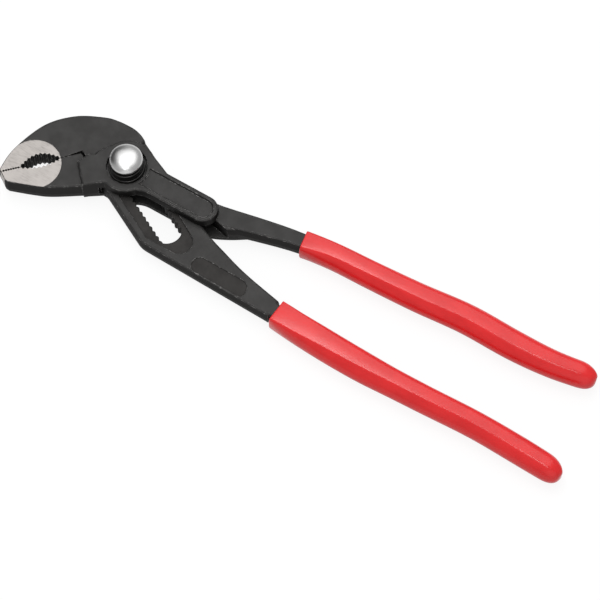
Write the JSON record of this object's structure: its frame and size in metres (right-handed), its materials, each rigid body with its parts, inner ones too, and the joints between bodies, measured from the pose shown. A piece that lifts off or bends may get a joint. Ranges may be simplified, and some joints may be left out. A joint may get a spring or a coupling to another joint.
{
  "type": "water pump pliers",
  "caption": "Long-handled water pump pliers with toothed pipe jaws, a box joint with a rack slot, a toothed bolt on a sprung push button, and dipped vinyl grips.",
  "frame": {"origin": "middle of the footprint of the whole tool, at the level of the rear cheek's underside", "axes": "+X from the jaws to the handles' ends, +Y across the handles towards the handle of the box half, +Z along the bolt towards the button"},
  "size_m": [0.3018, 0.0612, 0.0261],
  "materials": {
    "forged_steel": "dark phosphated drop forging with ground jaw faces",
    "bolt_steel": "oiled turned and milled steel",
    "chrome": "bright plated",
    "spring_steel": "drawn wire",
    "red_vinyl": "satin dipped vinyl"
  },
  "bodies": {
    "box_half": {"box_half": "forged_steel", "upper_grip": "red_vinyl"},
    "spring_seat": {"spring_seat": "bolt_steel", "button_spring": "spring_steel"},
    "slotted_half": {"slotted_half": "forged_steel", "lower_grip": "red_vinyl"},
    "push_button": {"push_button": "chrome", "joint_bolt": "bolt_steel"}
  },
  "joints": [
    {"name": "jaw_pivot", "type": "hinge", "parent": "box_half", "child": "spring_seat", "pos_m": [-0.09812, 0.005, 0.0076], "axis": [0, 0, -1], "range_deg": [0, 24]},
    {"name": "slot_adjust", "type": "slide", "parent": "spring_seat", "child": "slotted_half", "axis": [-0.891, 0.454, 0], "range_m": [0, 0.036]},
    {"name": "button_press", "type": "slide", "parent": "spring_seat", "child": "push_button", "axis": [0, 0, -1], "range_m": [0, 0.0068], "stiffness_N_per_m": 650, "springref_m": -0.005, "deforming": ["button_spring"]}
  ]
}
